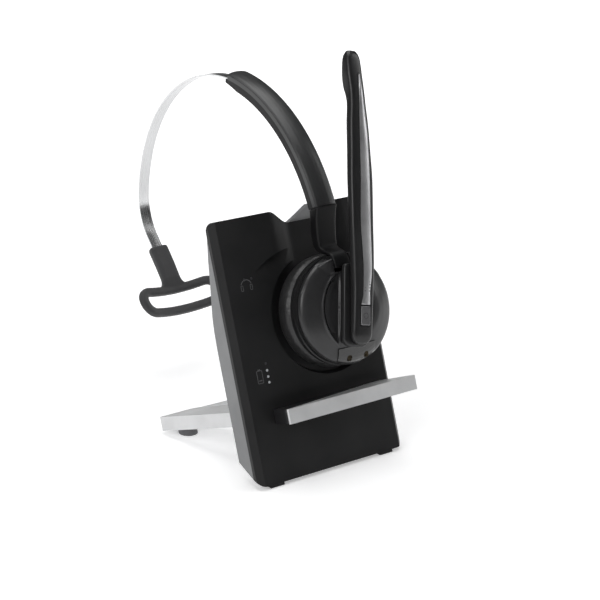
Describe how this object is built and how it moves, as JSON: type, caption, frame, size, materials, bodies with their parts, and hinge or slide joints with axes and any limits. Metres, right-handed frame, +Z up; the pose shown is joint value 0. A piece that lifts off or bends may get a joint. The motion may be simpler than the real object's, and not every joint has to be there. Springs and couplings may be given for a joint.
{
  "type": "office headset with charging dock",
  "caption": "Single-ear office headset with steel headband, T-shaped temple rest and long boom microphone, seated in a leaning charging dock with a metal ledge and rear leg.",
  "frame": {"origin": "bottom centre of the bounding box, on the desk", "axes": "+Z up, +X to the right seen from the front of the dock, -Y towards the user in front of the dock; the dock leans back towards +Y"},
  "size_m": [0.0948, 0.2074, 0.1966],
  "materials": {
    "dock_dark": "fine satin",
    "dock_grey": "satin",
    "plate_aluminium": "fine bead-blasted satin",
    "dark_block": "satin",
    "foot_rubber": "matt",
    "board": "green solder mask",
    "gold_contact": "gold plated",
    "bare_steel": "bright",
    "light_guide": "clear moulded",
    "ballast": "plain",
    "socket_black": "moulded",
    "socket_steel": "plated",
    "arm_satin": "soft satin",
    "arm_black": "moulded",
    "band_steel": "lengthwise brushed",
    "tbar_rubber": "matt soft-touch",
    "cushion": "soft leatherette",
    "cup_black": "satin",
    "cup_satin": "satin",
    "gloss_black": "polished",
    "battery_wrap": "film",
    "boom_satin": "satin",
    "silver_trim": "satin anodised",
    "mic_fabric": "acoustic mesh"
  },
  "bodies": {
    "dock": {"dock_front_cover": "dock_dark", "dock_back_shell": "dock_grey", "dock_circuit_board": "board", "dock_contacts": "gold_contact", "dock_magnet": "bare_steel", "stand_plate": "plate_aluminium", "ledge_block": "dark_block", "light_guides": "light_guide", "ballast_plate": "ballast", "front_feet": "foot_rubber", "rear_foot_pad": "foot_rubber", "power_inlet": "socket_black", "usb_socket": "socket_steel", "phone_sockets": "socket_black", "cover_screws": "bare_steel"},
    "page_key": {"page_button": "dock_dark"},
    "mode_slider": {"mode_switch": "dock_dark"},
    "headset": {"arm_outer_shell": "arm_satin", "arm_inner_shell": "arm_black", "arm_yoke": "arm_black", "cup_pivot_pin": "bare_steel", "arm_screws": "bare_steel"},
    "headband": {"steel_headband": "band_steel", "band_stop": "bare_steel", "tbar_clip": "arm_black", "tbar_pin": "bare_steel"},
    "head_rest": {"tbar_pad": "tbar_rubber"},
    "ear_cup": {"ear_cushion": "cushion", "cushion_carrier": "cup_black", "speaker_grille": "cup_black", "speaker_driver": "cup_black", "cup_rear_ring": "cup_black", "cup_front_shell": "cup_satin", "cup_hinge_lug": "cup_black", "battery_cell": "battery_wrap", "headset_circuit_board": "board", "charge_pads": "gold_contact", "cable_contacts": "gold_contact", "lower_cover": "gloss_black", "magnet_keeper": "bare_steel"},
    "volume_key": {"volume_rocker": "cup_satin"},
    "boom": {"boom_hub": "boom_satin", "boom_arm": "boom_satin", "boom_inlay": "silver_trim", "mic_capsule": "bare_steel", "mic_mesh": "mic_fabric", "boom_spindle": "bare_steel", "spindle_clip": "bare_steel"},
    "mute_key": {"mute_button": "silver_trim"}
  },
  "joints": [
    {"name": "page_press", "type": "slide", "parent": "dock", "child": "page_key", "axis": [0, -0.9466, 0.3223], "range_m": [0, 0.0006], "stiffness_N_per_m": 1500},
    {"name": "mode_slide", "type": "slide", "parent": "dock", "child": "mode_slider", "axis": [1, 0, 0], "range_m": [0, 0.004]},
    {"name": "headset_lift", "type": "slide", "parent": "dock", "child": "headset", "axis": [0, -0.4415, 0.8973], "range_m": [0, 0.18]},
    {"name": "headband_size", "type": "hinge", "parent": "headset", "child": "headband", "pos_m": [0.0097, 0.01389, 0.08575], "axis": [-1, 0, 0], "range_deg": [-4, 18]},
    {"name": "rest_swivel", "type": "hinge", "parent": "headband", "child": "head_rest", "pos_m": [0.0097, 0.08723, 0.06316], "axis": [1, 0, 0], "range_deg": [-8, 8]},
    {"name": "cup_tilt", "type": "hinge", "parent": "headset", "child": "ear_cup", "pos_m": [0.0097, -0.08044, 0.10222], "axis": [-1, 0, 0], "range_deg": [0, 12]},
    {"name": "volume_rock", "type": "hinge", "parent": "ear_cup", "child": "volume_key", "pos_m": [-0.0043, -0.08792, 0.08333], "axis": [0.972, -0.0758, -0.2226], "range_deg": [-2.5, 2.5], "stiffness_Nm_per_rad": 0.15},
    {"name": "boom_swing", "type": "hinge", "parent": "ear_cup", "child": "boom", "pos_m": [0.0097, -0.09319, 0.08153], "axis": [0, 0.9466, -0.3223], "range_deg": [0, 326]},
    {"name": "mute_press", "type": "slide", "parent": "boom", "child": "mute_key", "axis": [0, 0.9466, -0.3223], "range_m": [0, 0.0004], "stiffness_N_per_m": 1200}
  ]
}
